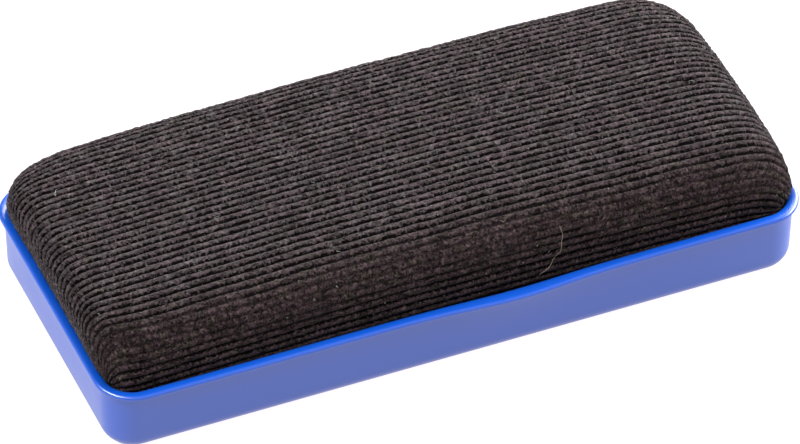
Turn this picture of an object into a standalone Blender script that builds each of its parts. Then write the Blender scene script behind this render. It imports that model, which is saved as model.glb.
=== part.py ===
"""Magnetic glass cleaner, pad half.

A shallow lipped tray holds a steel yoke and a row of ferrite magnets under a screwed lid.
A domed pad, covered in ribbed cloth, sits in the tray on hook-and-loop strips and pulls straight out.
X runs along the length, Y across the width and Z up through the pad. The origin is the middle of the flat back.
"""
import math

import bmesh
import bpy

MM = 0.001

# Tray
LENGTH = 110.8 * MM  # over the lip
WIDTH = 49.4 * MM  # over the lip
TRAY_HEIGHT = 11.7 * MM
LIP_OVERHANG = 1.0 * MM
LIP_THICKNESS = 0.65 * MM
LIP_CORNER_RADIUS = 6.2 * MM
DRAFT = 0.4 * MM  # how much further in the wall stands at its foot than under the lip
EDGE_ROUNDING = 0.25 * MM
BASE_FILLET = 3.0 * MM
UPPER_WALL = 1.0 * MM
LOWER_WALL = 1.8 * MM
FLOOR = 1.2 * MM
FLOOR_FILLET = 0.5 * MM
LEDGE_Z = 6.9 * MM

WALL_X = LENGTH / 2 - LIP_OVERHANG
WALL_Y = WIDTH / 2 - LIP_OVERHANG
WALL_CORNER = LIP_CORNER_RADIUS - LIP_OVERHANG

# Clearances
LAYER_GAP = 0.3 * MM
SIDE_GAP = 0.4 * MM

# Screws and the posts they bite into
SCREW_X = WALL_X - 4.4 * MM
SCREW_Y = WALL_Y - 4.4 * MM
POST_RADIUS = 2.9 * MM
POST_TOP = LEDGE_Z - 0.2 * MM
PILOT_RADIUS = 1.15 * MM
PILOT_BOTTOM = 1.9 * MM
SHANK_RADIUS = 0.85 * MM
HEAD_RADIUS = 1.9 * MM
HEAD_EDGE = 0.15 * MM
TIP_RADIUS = 0.2 * MM
TIP_Z = 2.4 * MM
TIP_LENGTH = 0.9 * MM
RECESS_LENGTH = 2.1 * MM
RECESS_WIDTH = 0.5 * MM
RECESS_DEPTH = 0.5 * MM

# Magnet compartment, from the floor up
TAPE_X = 44.0 * MM
TAPE_Y = 18.0 * MM
TAPE_THICKNESS = 0.3 * MM
TAPE_Z = FLOOR + LAYER_GAP
YOKE_X = 46.0 * MM
YOKE_Y = 20.0 * MM
YOKE_CORNER = 1.5 * MM
YOKE_THICKNESS = 0.9 * MM
YOKE_Z = TAPE_Z + TAPE_THICKNESS + LAYER_GAP
MAGNET_COUNT = 4
MAGNET_LENGTH = 21.0 * MM
MAGNET_WIDTH = 36.0 * MM
MAGNET_THICKNESS = 4.3 * MM
MAGNET_CHAMFER = 0.35 * MM
MAGNET_Z = YOKE_Z + YOKE_THICKNESS + LAYER_GAP
MAGNET_PITCH = MAGNET_LENGTH + 1.4 * MM
FRAME_HEIGHT = 3.3 * MM

# Gasket and lid
GASKET_WIDTH = 1.6 * MM
GASKET_THICKNESS = 0.4 * MM
GASKET_Z = LEDGE_Z + LAYER_GAP
LID_THICKNESS = 0.9 * MM
LID_Z = GASKET_Z + GASKET_THICKNESS + LAYER_GAP
LID_TOP = LID_Z + LID_THICKNESS
LID_ROUNDING = 0.2 * MM

# Hook and loop strips
STRIP_X = 25.0 * MM  # centre of each strip from the middle
STRIP_LENGTH = 30.0 * MM
STRIP_WIDTH = 22.0 * MM
STRIP_CORNER = 1.0 * MM
HOOK_THICKNESS = 0.4 * MM
HOOK_Z = LID_TOP + LAYER_GAP
LOOP_THICKNESS = 0.3 * MM
LOOP_Z = HOOK_Z + HOOK_THICKNESS + LAYER_GAP

# Pad
SKIRT_X = WALL_X - UPPER_WALL - SIDE_GAP
SKIRT_Y = WALL_Y - UPPER_WALL - SIDE_GAP
BULGE_X = 54.4 * MM
BULGE_Y = 22.9 * MM
SKIRT_TOP = TRAY_HEIGHT + 0.3 * MM
BULGE_Z = 14.4 * MM
SHOULDER_Z = 22.6 * MM
SHOULDER_WIDTH = 12.5 * MM
CROWN_Z = 23.4 * MM
CROWN_HALF_WIDTH = 1.5 * MM
PAD_CORNER = 7.5 * MM
CLOTH = 0.8 * MM
WADDING = 1.0 * MM
HEM_WIDTH = 6.5 * MM
HEM_Z = HOOK_Z + 0.2 * MM
BOARD_Z = LOOP_Z + LOOP_THICKNESS + LAYER_GAP
BOARD_THICKNESS = 1.1 * MM
BOARD_ROUNDING = 0.2 * MM
FOAM_Z = BOARD_Z + BOARD_THICKNESS + LAYER_GAP

CORNER_STEPS = 8
FILLET_STEPS = 5
SHOULDER_STEPS = 7
ROUND_STEPS = 20


def make_material(name, color, roughness, metallic=0.0):
    material = bpy.data.materials.new(name)
    material.use_nodes = True
    shader = material.node_tree.nodes["Principled BSDF"]
    shader.inputs["Base Color"].default_value = (*color, 1.0)
    shader.inputs["Roughness"].default_value = roughness
    shader.inputs["Metallic"].default_value = metallic
    return material


def rounded_rectangle(half_x, half_y, radius, z, centre=(0.0, 0.0)):
    """Points of a rounded rectangle at height z, anticlockwise seen from above."""
    radius = min(radius, half_x * 0.98, half_y * 0.98)
    corners = ((1, 1, 0.0), (-1, 1, 90.0), (-1, -1, 180.0), (1, -1, 270.0))
    points = []
    for side_x, side_y, start in corners:
        for step in range(CORNER_STEPS + 1):
            angle = math.radians(start + 90.0 * step / CORNER_STEPS)
            x = centre[0] + side_x * (half_x - radius) + radius * math.cos(angle)
            y = centre[1] + side_y * (half_y - radius) + radius * math.sin(angle)
            points.append((x, y, z))
    return points


def circle(radius, z, centre):
    points = []
    for step in range(ROUND_STEPS):
        angle = 2.0 * math.pi * step / ROUND_STEPS
        points.append((centre[0] + radius * math.cos(angle), centre[1] + radius * math.sin(angle), z))
    return points


def add_loft(bm, rings, closed=False):
    """Skin rings of equal length. An open loft is capped at both ends, a closed one joins last to first."""
    loops = []
    for ring in rings:
        loops.append([bm.verts.new(point) for point in ring])
    pairs = list(zip(loops, loops[1:]))
    if closed:
        pairs.append((loops[-1], loops[0]))
    for lower, upper in pairs:
        for index in range(len(lower)):
            following = (index + 1) % len(lower)
            bm.faces.new((lower[index], lower[following], upper[following], upper[index]))
    if not closed:
        bm.faces.new(list(reversed(loops[0])))
        bm.faces.new(loops[-1])


def new_object(name, bm, material=None, smooth_angle=35.0):
    mesh = bpy.data.meshes.new(name)
    bm.to_mesh(mesh)
    bm.free()
    mesh.shade_smooth()
    mesh.set_sharp_from_angle(angle=math.radians(smooth_angle))
    if material:
        mesh.materials.append(material)
    obj = bpy.data.objects.new(name, mesh)
    bpy.context.scene.collection.objects.link(obj)
    return obj


def loft_object(name, rings, material, closed=False):
    bm = bmesh.new()
    add_loft(bm, rings, closed)
    return new_object(name, bm, material)


def hidden_tool(name, solids):
    """One object of separate lofted solids that only serves a Boolean."""
    bm = bmesh.new()
    for rings in solids:
        add_loft(bm, rings)
    tool = new_object(name, bm)
    tool.hide_render = True
    tool.display_type = "WIRE"
    return tool


def add_boolean(obj, tool, operation):
    modifier = obj.modifiers.new(tool.name, "BOOLEAN")
    modifier.operation = operation
    modifier.solver = "EXACT"
    modifier.object = tool


def inset_ring(inset, z):
    """Ring that follows the tray's outer wall, moved inwards by inset."""
    return rounded_rectangle(WALL_X - inset, WALL_Y - inset, max(WALL_CORNER - inset, 0.3 * MM), z)


def plate_rings(half_x, half_y, corner, bottom, top, edge, centre=(0.0, 0.0)):
    """A flat plate with its edges eased by edge."""
    rings = []
    for inset, z in ((edge, bottom), (0.0, bottom + edge), (0.0, top - edge), (edge, top)):
        ring_corner = max(corner - inset, 0.1 * MM)
        rings.append(rounded_rectangle(half_x - inset, half_y - inset, ring_corner, z, centre))
    return rings


def screw_places():
    return [(sx * SCREW_X, sy * SCREW_Y) for sx in (-1, 1) for sy in (-1, 1)]


def magnet_places():
    middle = (MAGNET_COUNT - 1) / 2.0
    return [(index - middle) * MAGNET_PITCH for index in range(MAGNET_COUNT)]


def make_casing(material):
    rings = []
    for step in range(FILLET_STEPS + 1):
        angle = math.radians(90.0 * step / FILLET_STEPS)
        inset = DRAFT + BASE_FILLET * (1.0 - math.sin(angle))
        rings.append(inset_ring(inset, BASE_FILLET * (1.0 - math.cos(angle))))
    lip_bottom = TRAY_HEIGHT - LIP_THICKNESS
    outline = (
        (0.0, lip_bottom - EDGE_ROUNDING),
        (-EDGE_ROUNDING, lip_bottom),
        (EDGE_ROUNDING - LIP_OVERHANG, lip_bottom),
        (-LIP_OVERHANG, lip_bottom + EDGE_ROUNDING),
        (-LIP_OVERHANG, TRAY_HEIGHT - EDGE_ROUNDING),
        (EDGE_ROUNDING - LIP_OVERHANG, TRAY_HEIGHT),
        (UPPER_WALL - EDGE_ROUNDING, TRAY_HEIGHT),
        (UPPER_WALL, TRAY_HEIGHT - EDGE_ROUNDING),
        (UPPER_WALL, LEDGE_Z),
        (LOWER_WALL, LEDGE_Z),
        (LOWER_WALL, FLOOR + FLOOR_FILLET),
        (LOWER_WALL + FLOOR_FILLET, FLOOR),
    )
    for inset, z in outline:
        rings.append(inset_ring(inset, z))
    casing = loft_object("casing", rings, material)
    posts = []
    pilots = []
    for place in screw_places():
        posts.append([circle(POST_RADIUS, z, place) for z in (FLOOR / 2, POST_TOP)])
        pilots.append([circle(PILOT_RADIUS, z, place) for z in (PILOT_BOTTOM, LEDGE_Z + 1.0 * MM)])
    add_boolean(casing, hidden_tool("post_tool", posts), "UNION")
    add_boolean(casing, hidden_tool("pilot_tool", pilots), "DIFFERENCE")


def make_magnet_stack(tape, steel, ferrite, plastic):
    tape_top = TAPE_Z + TAPE_THICKNESS
    loft_object("yoke_tape", plate_rings(TAPE_X, TAPE_Y, YOKE_CORNER, TAPE_Z, tape_top, 0.05 * MM), tape)
    yoke_top = YOKE_Z + YOKE_THICKNESS
    loft_object("yoke_plate", plate_rings(YOKE_X, YOKE_Y, YOKE_CORNER, YOKE_Z, yoke_top, 0.1 * MM), steel)
    windows = []
    for index, x in enumerate(magnet_places()):
        half_x = MAGNET_LENGTH / 2
        half_y = MAGNET_WIDTH / 2
        top = MAGNET_Z + MAGNET_THICKNESS
        rings = plate_rings(half_x, half_y, 2 * MAGNET_CHAMFER, MAGNET_Z, top, MAGNET_CHAMFER, (x, 0.0))
        loft_object(f"magnet_{index + 1}", rings, ferrite)
        window_x = half_x + LAYER_GAP
        window_y = half_y + LAYER_GAP
        levels = (MAGNET_Z - 1.0 * MM, MAGNET_Z + FRAME_HEIGHT + 1.0 * MM)
        windows.append([rounded_rectangle(window_x, window_y, 0.5 * MM, z, (x, 0.0)) for z in levels])
    frame_top = MAGNET_Z + FRAME_HEIGHT
    rings = plate_rings(YOKE_X, YOKE_Y, YOKE_CORNER, MAGNET_Z, frame_top, 0.2 * MM)
    frame = loft_object("magnet_frame", rings, plastic)
    add_boolean(frame, hidden_tool("window_tool", windows), "DIFFERENCE")


def make_gasket(material):
    outer = UPPER_WALL + SIDE_GAP
    inner = outer + GASKET_WIDTH
    top = GASKET_Z + GASKET_THICKNESS
    section = ((outer, GASKET_Z), (outer, top), (inner, top), (inner, GASKET_Z))
    loft_object("cover_gasket", [inset_ring(inset, z) for inset, z in section], material, closed=True)


def head_radius_at(z, head_top):
    """Radius of a countersunk head: a thin edge, then a 90 degree cone down to the shank."""
    return max(HEAD_RADIUS - max(head_top - HEAD_EDGE - z, 0.0), SHANK_RADIUS)


def make_lid(material):
    inset = UPPER_WALL + SIDE_GAP
    rings = plate_rings(
        WALL_X - inset, WALL_Y - inset, WALL_CORNER - inset, LID_Z, LID_TOP, LID_ROUNDING
    )
    lid = loft_object("inner_cover", rings, material)
    head_top = LID_TOP - 0.1 * MM
    levels = (LID_Z - 0.5 * MM, head_top - HEAD_EDGE - (HEAD_RADIUS - SHANK_RADIUS), LID_TOP + 0.5 * MM)
    radii = (SHANK_RADIUS, SHANK_RADIUS, SHANK_RADIUS + levels[2] - levels[1])
    sinks = []
    for place in screw_places():
        sinks.append([circle(radius + SIDE_GAP, z, place) for radius, z in zip(radii, levels)])
    add_boolean(lid, hidden_tool("sink_tool", sinks), "DIFFERENCE")


def make_screws(material):
    head_top = LID_TOP - 0.1 * MM
    cone_bottom = head_top - HEAD_EDGE - (HEAD_RADIUS - SHANK_RADIUS)
    outline = (
        (TIP_RADIUS, TIP_Z),
        (SHANK_RADIUS, TIP_Z + TIP_LENGTH),
        (SHANK_RADIUS, cone_bottom),
        (head_radius_at(head_top - HEAD_EDGE, head_top), head_top - HEAD_EDGE),
        (HEAD_RADIUS, head_top),
    )
    for index, place in enumerate(screw_places()):
        rings = [circle(radius, z, place) for radius, z in outline]
        screw = loft_object(f"cover_screw_{index + 1}", rings, material)
        for bar, (half_x, half_y) in enumerate(((RECESS_LENGTH, RECESS_WIDTH), (RECESS_WIDTH, RECESS_LENGTH))):
            levels = (head_top - RECESS_DEPTH, head_top + 1.0 * MM)
            slot = [rounded_rectangle(half_x / 2, half_y / 2, 0.05 * MM, z, place) for z in levels]
            add_boolean(screw, hidden_tool(f"recess_tool_{index + 1}_{bar + 1}", [slot]), "DIFFERENCE")


def make_strips(hook, loop):
    for side, name in ((-1, "left"), (1, "right")):
        centre = (side * STRIP_X, 0.0)
        size = (STRIP_LENGTH / 2, STRIP_WIDTH / 2, STRIP_CORNER)
        hook_rings = plate_rings(*size, HOOK_Z, HOOK_Z + HOOK_THICKNESS, 0.05 * MM, centre)
        loft_object(f"hook_strip_{name}", hook_rings, hook)
        loop_rings = plate_rings(*size, LOOP_Z, LOOP_Z + LOOP_THICKNESS, 0.05 * MM, centre)
        loft_object(f"loop_strip_{name}", loop_rings, loop)


def pad_ring(half_x, half_y, depth, z):
    """Ring of the pad's outer form, moved inwards by depth."""
    radius = max(PAD_CORNER - depth, 1.0 * MM)
    return rounded_rectangle(half_x - depth, half_y - depth, radius, z)


def dome_rings(depth, base):
    """Rings of the pad's skin from base up to the crown, at depth below its outer face."""
    rings = [
        rounded_rectangle(SKIRT_X - depth, SKIRT_Y - depth, WALL_CORNER - UPPER_WALL - SIDE_GAP, base),
        rounded_rectangle(SKIRT_X - depth, SKIRT_Y - depth, WALL_CORNER - UPPER_WALL - SIDE_GAP, SKIRT_TOP),
        pad_ring(BULGE_X, BULGE_Y, depth, BULGE_Z),
    ]
    rise = SHOULDER_Z - depth - BULGE_Z
    run = SHOULDER_WIDTH - depth
    for step in range(1, SHOULDER_STEPS + 1):
        angle = math.radians(90.0 * step / SHOULDER_STEPS)
        inset = depth + run * (1.0 - math.cos(angle))
        half_x = BULGE_X - inset
        half_y = BULGE_Y - inset
        rings.append(rounded_rectangle(half_x, half_y, PAD_CORNER, BULGE_Z + rise * math.sin(angle)))
    crown_x = BULGE_X - BULGE_Y + CROWN_HALF_WIDTH
    rings.append(rounded_rectangle(crown_x, CROWN_HALF_WIDTH, PAD_CORNER, CROWN_Z - depth))
    return rings


def make_pad(board, foam, wadding, cloth):
    board_inset = CLOTH + SIDE_GAP
    board_corner = WALL_CORNER - UPPER_WALL - SIDE_GAP - board_inset
    board_rings = plate_rings(
        SKIRT_X - board_inset,
        SKIRT_Y - board_inset,
        board_corner,
        BOARD_Z,
        BOARD_Z + BOARD_THICKNESS,
        BOARD_ROUNDING,
    )
    loft_object("pad_board", board_rings, board)
    wadding_depth = CLOTH + LAYER_GAP
    foam_depth = wadding_depth + WADDING + LAYER_GAP
    loft_object("foam_core", dome_rings(foam_depth, FOAM_Z), foam)
    inner = list(reversed(dome_rings(wadding_depth + WADDING, FOAM_Z)))
    loft_object("wadding", inner + dome_rings(wadding_depth, FOAM_Z), wadding)
    hem_top = HEM_Z + CLOTH
    inner = list(reversed(dome_rings(CLOTH, hem_top)))
    hem = [rounded_rectangle(SKIRT_X - HEM_WIDTH, SKIRT_Y - HEM_WIDTH, 1.0 * MM, z) for z in (hem_top, HEM_Z)]
    loft_object("fabric_cover", inner + hem + dome_rings(0.0, HEM_Z), cloth)


def main():
    for obj in list(bpy.data.objects):
        bpy.data.objects.remove(obj, do_unlink=True)
    blue = make_material("blue_plastic", (0.02, 0.13, 0.72), 0.25)
    make_casing(blue)
    make_magnet_stack(
        make_material("foam_tape", (0.85, 0.85, 0.82), 0.8),
        make_material("zinc_steel", (0.62, 0.63, 0.64), 0.35, 1.0),
        make_material("ferrite", (0.06, 0.06, 0.065), 0.6),
        make_material("white_plastic", (0.82, 0.82, 0.8), 0.45),
    )
    make_gasket(make_material("gasket_rubber", (0.02, 0.02, 0.02), 0.7))
    make_lid(make_material("grey_plastic", (0.16, 0.17, 0.19), 0.4))
    make_screws(make_material("stainless_steel", (0.7, 0.7, 0.7), 0.3, 1.0))
    make_strips(
        make_material("hook_tape", (0.03, 0.03, 0.03), 0.85),
        make_material("loop_tape", (0.05, 0.05, 0.05), 0.95),
    )
    make_pad(
        make_material("board_plastic", (0.75, 0.75, 0.72), 0.55),
        make_material("foam", (0.55, 0.52, 0.4), 0.95),
        make_material("wadding_fibre", (0.8, 0.8, 0.78), 0.95),
        make_material("corduroy", (0.06, 0.05, 0.05), 0.95),
    )


main()
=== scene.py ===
"""Looks of the magnetic glass cleaner: a blue tray, a charcoal corduroy pad, and magnets under a lid."""
import math

import bmesh
import bpy
import numpy as np
from mathutils import Matrix, Vector


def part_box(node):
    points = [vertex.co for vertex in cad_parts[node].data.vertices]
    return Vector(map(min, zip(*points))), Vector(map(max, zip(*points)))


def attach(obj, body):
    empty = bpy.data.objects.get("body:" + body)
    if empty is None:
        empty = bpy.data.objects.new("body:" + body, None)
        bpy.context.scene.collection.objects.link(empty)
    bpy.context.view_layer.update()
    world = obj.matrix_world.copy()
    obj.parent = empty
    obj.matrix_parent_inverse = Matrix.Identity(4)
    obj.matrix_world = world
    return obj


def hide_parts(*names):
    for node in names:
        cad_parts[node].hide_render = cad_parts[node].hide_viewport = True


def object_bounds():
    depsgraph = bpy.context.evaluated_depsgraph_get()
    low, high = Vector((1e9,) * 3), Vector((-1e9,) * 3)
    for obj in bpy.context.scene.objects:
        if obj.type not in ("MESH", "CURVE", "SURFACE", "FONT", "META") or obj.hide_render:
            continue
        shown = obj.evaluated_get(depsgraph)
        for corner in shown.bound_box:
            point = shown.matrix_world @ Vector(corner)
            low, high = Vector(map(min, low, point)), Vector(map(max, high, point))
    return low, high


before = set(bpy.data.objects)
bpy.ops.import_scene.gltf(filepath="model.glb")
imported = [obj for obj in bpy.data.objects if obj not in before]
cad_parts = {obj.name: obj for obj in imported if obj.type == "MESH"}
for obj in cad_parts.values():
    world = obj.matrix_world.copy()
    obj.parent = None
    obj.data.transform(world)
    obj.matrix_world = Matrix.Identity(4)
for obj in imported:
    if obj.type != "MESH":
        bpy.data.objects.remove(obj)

CAD_LOW, CAD_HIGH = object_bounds()
SCENE = bpy.context.scene
MM = 0.001
RANDOM = np.random.default_rng(20)

# Camera: where it stands, as an orbit round the origin, and how long its lens is
VIEW_AZIMUTH = -23.16
VIEW_ELEVATION = 42.15
VIEW_ROLL = 0.58
VIEW_DISTANCE = 1.258
VIEW_RIGHT = 0.2 * MM
VIEW_UP = 5.75 * MM
LENS = 384.7

# Tray, from the CAD's casing
TRAY_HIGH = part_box("casing")[1]
LIP_OVERHANG = 1.0 * MM
LIP_THICKNESS = 0.65 * MM
WALL_X = TRAY_HIGH.x - LIP_OVERHANG
WALL_Y = TRAY_HIGH.y - LIP_OVERHANG
TRAY_TOP = TRAY_HIGH.z
WALL_CORNER = 5.2 * MM
DRAFT = 0.25 * MM
BASE_FILLET = 2.7 * MM
UPPER_WALL = 1.0 * MM
LOWER_WALL = 1.8 * MM
FLOOR = 1.2 * MM
LEDGE_Z = 6.9 * MM
SCREW_X = WALL_X - 4.4 * MM
SCREW_Y = WALL_Y - 4.4 * MM
POST_RADIUS = 2.9 * MM
PILOT_RADIUS = 1.15 * MM
PILOT_BOTTOM = 1.9 * MM
LIP_AT_ENDS = 0.8  # share of the lip's overhang at the tray's ends

# The front lip stands out in one place: how far, where along X, how wide, and the share of it inside the wall
LIP_BOW = 1.1 * MM
LIP_BOW_PLACE = 8.5 * MM
LIP_BOW_WIDTH = 10.0 * MM
LIP_BOW_INSIDE = 0.45

# Pad: heights of its crest, of the tray's lip where it sinks in, and of its hem
CREST_Z = CAD_HIGH.z
SINK_Z = 11.4 * MM
HEM_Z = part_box("fabric_cover")[0].z
CLOTH = 0.8 * MM
HEM_WIDTH = 6.5 * MM
WADDING_DEPTH = 1.6 * MM
FOAM_DEPTH = 2.8 * MM
FOAM_GAP = 0.2 * MM

# Hook and loop tape. The path of a hook is (distance sideways, share of its height)
HOOK_PITCH_X = 1.1 * MM
HOOK_PITCH_Y = 0.9 * MM
HOOK_MARGIN = 1.2 * MM
HOOK_SCATTER = 0.03 * MM
HOOK_RADIUS = 0.045 * MM
HOOK_BEND = ((0.0, -0.05), (0.02 * MM, 0.6), (0.12 * MM, 1.0), (0.24 * MM, 0.9), (0.28 * MM, 0.55))
TAPE_BASE = 0.12 * MM
TAPE_CORNER = 1.0 * MM
LOOP_COUNT = 900
LOOP_MARGIN = 0.9 * MM
LOOP_HANG = 0.11 * MM
LOOP_RADIUS = 0.03 * MM
ROOTED = 0.02 * MM  # the loops begin this far inside the tape, and the hooks reach this far past its box

# What is caught on the pad: fibres, lint as (u, v, length) in mm, dust, and a hair between two places (u, v).
# None of it starts lower than CAUGHT_ABOVE over the lip.
CAUGHT_ABOVE = 0.5 * MM
FIBRE_COUNT = 5000
FIBRE_LENGTH = (0.2, 0.45)  # from and to, in mm
FIBRE_RADIUS = (0.010, 0.016)  # from and to, in mm
LINT = [(-31.0, -4.0, 1.1), (-50.0, 10.0, 1.4), (-12.0, -6.0, 1.0), (16.0, 1.0, 1.0), (45.0, -2.0, 1.0)]
DUST_COUNT = 60
DUST_LENGTH = (0.2, 0.45)  # from and to, in mm
LINT_RAISED = 0.22  # over the cloth's base, in mm
LINT_RADIUS = 0.02 * MM
HAIR_START = (16.0 * MM, -21.5 * MM)
HAIR_END = (12.5 * MM, -29.0 * MM)
HAIR_BEND = 1.5 * MM
HAIR_RADIUS = 0.035 * MM

# Corduroy: rib pitch, mesh columns within a rib, rib height, mesh rows, length of a tuft, waver of the ribs
WALE = 1.275 * MM
WALE_COLUMNS = (0.0, 0.18, 0.5, 0.82)
WALE_HEIGHT = 0.5 * MM
ROW_STEP = 0.3 * MM
TUFT = 0.95 * MM
WAVER = 0.07 * MM
MOST_WALES = 100  # on either side of the middle

# Where the pile is brushed flat along the front edge: v at the band's middle, and its width
BRUSHED_AT = -21.7 * MM
BRUSHED_WIDTH = 3.3 * MM

# The pad's left back shoulder is pressed in a little
DENT = 0.4 * MM
DENT_PLACE = (-51.0 * MM, 25.0 * MM)
DENT_WIDTH = 8.0 * MM

# The pile is nicked out in one spot near the right end, and the spot also carries painted shade
NICK = 0.4 * MM
NICK_PLACE = (45.0 * MM, -2.0 * MM)
NICK_SIZE = (1.2 * MM, 0.8 * MM)


# ---------------------------------------------------------------- node materials

class Shader:
    """A node material in the making. Sockets are passed between the calls like values."""

    def __init__(self, name, roughness=0.5, metallic=0.0, **settings):
        self.material = bpy.data.materials.new(name)
        self.material.use_nodes = True
        self.tree = self.material.node_tree
        self.principled = self.tree.nodes["Principled BSDF"]
        self.principled.inputs["Roughness"].default_value = roughness
        self.principled.inputs["Metallic"].default_value = metallic
        for socket, value in settings.items():
            self.principled.inputs[socket.replace("_", " ")].default_value = value

    def node(self, kind, **settings):
        node = self.tree.nodes.new(kind)
        for key, value in settings.items():
            setattr(node, key, value)
        return node

    def put(self, socket, value):
        if isinstance(value, bpy.types.NodeSocket):
            self.tree.links.new(value, socket)
        elif value is not None:
            socket.default_value = value

    def place(self, scale=(1.0, 1.0, 1.0)):
        """The object's own coordinates in metres, stretched by scale."""
        coordinates = self.node("ShaderNodeTexCoord")
        mapping = self.node("ShaderNodeMapping")
        self.put(mapping.inputs["Vector"], coordinates.outputs["Object"])
        mapping.inputs["Scale"].default_value = scale
        return mapping.outputs["Vector"]

    def attribute(self, name):
        return self.node("ShaderNodeAttribute", attribute_name=name).outputs["Fac"]

    def combine(self, x, y, z=0.0):
        node = self.node("ShaderNodeCombineXYZ")
        for socket, value in zip(node.inputs, (x, y, z)):
            self.put(socket, value)
        return node.outputs["Vector"]

    def math(self, operation, first, second=None, third=None):
        node = self.node("ShaderNodeMath", operation=operation)
        for socket, value in zip(node.inputs, (first, second, third)):
            self.put(socket, value)
        return node.outputs["Value"]

    def noise(self, vector, scale, detail=3.0, roughness=0.55, distortion=0.0):
        node = self.node("ShaderNodeTexNoise")
        self.put(node.inputs["Vector"], vector)
        node.inputs["Scale"].default_value = scale
        node.inputs["Detail"].default_value = detail
        node.inputs["Roughness"].default_value = roughness
        node.inputs["Distortion"].default_value = distortion
        return node.outputs["Fac"]

    def cells(self, vector, scale, randomness=1.0, output="Distance"):
        node = self.node("ShaderNodeTexVoronoi", feature="F1")
        self.put(node.inputs["Vector"], vector)
        node.inputs["Scale"].default_value = scale
        node.inputs["Randomness"].default_value = randomness
        return node.outputs[output]

    def ramp(self, value, low, high, to_low=0.0, to_high=1.0, smooth=True):
        """Value mapped from low..high to to_low..to_high, clamped."""
        node = self.node("ShaderNodeMapRange")
        node.interpolation_type = "SMOOTHSTEP" if smooth else "LINEAR"
        for socket, given in zip(node.inputs, (value, low, high, to_low, to_high)):
            self.put(socket, given)
        return node.outputs["Result"]

    def mix(self, factor, first, second):
        node = self.node("ShaderNodeMix", data_type="RGBA")
        self.put(node.inputs["Factor"], factor)
        for socket, value in ((node.inputs[6], first), (node.inputs[7], second)):
            self.put(socket, value if isinstance(value, bpy.types.NodeSocket) else (*value, 1.0))
        return node.outputs[2]

    def bump(self, height, distance, strength=1.0, normal=None):
        node = self.node("ShaderNodeBump")
        self.put(node.inputs["Height"], height)
        node.inputs["Distance"].default_value = distance
        node.inputs["Strength"].default_value = strength
        if normal is not None:
            self.put(node.inputs["Normal"], normal)
        return node.outputs["Normal"]

    def finish(self, color=None, roughness=None, normal=None):
        if color is not None and not isinstance(color, bpy.types.NodeSocket):
            color = (*color, 1.0)
        self.put(self.principled.inputs["Base Color"], color)
        self.put(self.principled.inputs["Roughness"], roughness)
        if normal is not None:
            self.put(self.principled.inputs["Normal"], normal)
        return self.material


def blue_plastic():
    """Half-gloss moulded plastic with faint flow marks and hairline scuffs."""
    s = Shader("blue_plastic", IOR=1.78)
    flow = s.noise(s.place((1.0, 2.5, 4.0)), 45.0, 3.0)
    color = s.mix(flow, (0.001, 0.052, 0.345), (0.0015, 0.057, 0.37))
    scuffs = s.noise(s.place((120.0, 5000.0, 4000.0)), 1.0, 2.0, 0.7)
    scuffed = s.ramp(scuffs, 0.62, 0.78)
    roughness = s.math("MULTIPLY_ADD", scuffed, 0.06, s.ramp(flow, 0.3, 0.7, 0.283, 0.32))
    peel = s.noise(s.place(), 1300.0, 2.0)
    normal = s.bump(peel, 0.004 * MM, 0.5, s.bump(flow, 0.03 * MM, 0.25))
    return s.finish(color, roughness, normal)


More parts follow.
